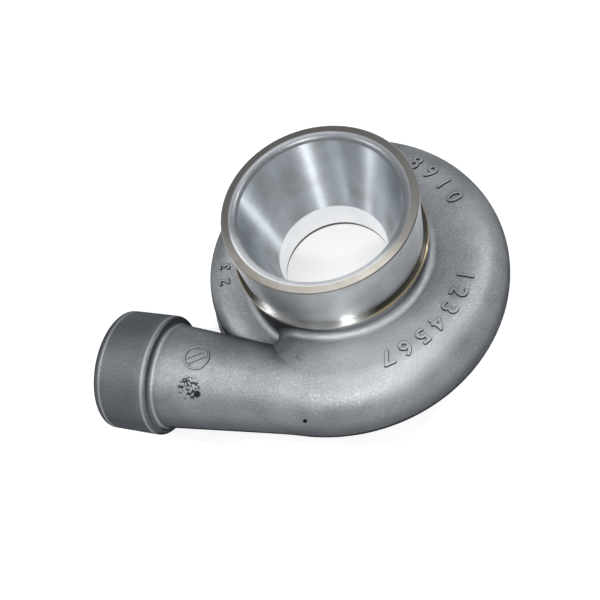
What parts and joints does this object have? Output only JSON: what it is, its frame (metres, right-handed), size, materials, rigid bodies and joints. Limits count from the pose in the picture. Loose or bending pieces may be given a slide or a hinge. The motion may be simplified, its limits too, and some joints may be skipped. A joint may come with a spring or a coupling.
{
  "type": "turbocharger compressor housing",
  "caption": "Cast snail-shaped compressor housing with a machined bell inlet, a round throat, a growing scroll and a tapered outlet pipe with a hose collar.",
  "frame": {"origin": "on the wheel axis, in the plane of the machined back face that bolts to the backplate", "axes": "+Z along the wheel axis towards the inlet, -X along the outlet pipe towards its mouth, +Y completes the right-handed frame"},
  "size_m": [0.2061, 0.2029, 0.095],
  "materials": {
    "cast_aluminium": "shot-blasted casting, turned inlet"
  },
  "bodies": {
    "root": {"compressor_housing": "cast_aluminium"}
  },
  "joints": []
}
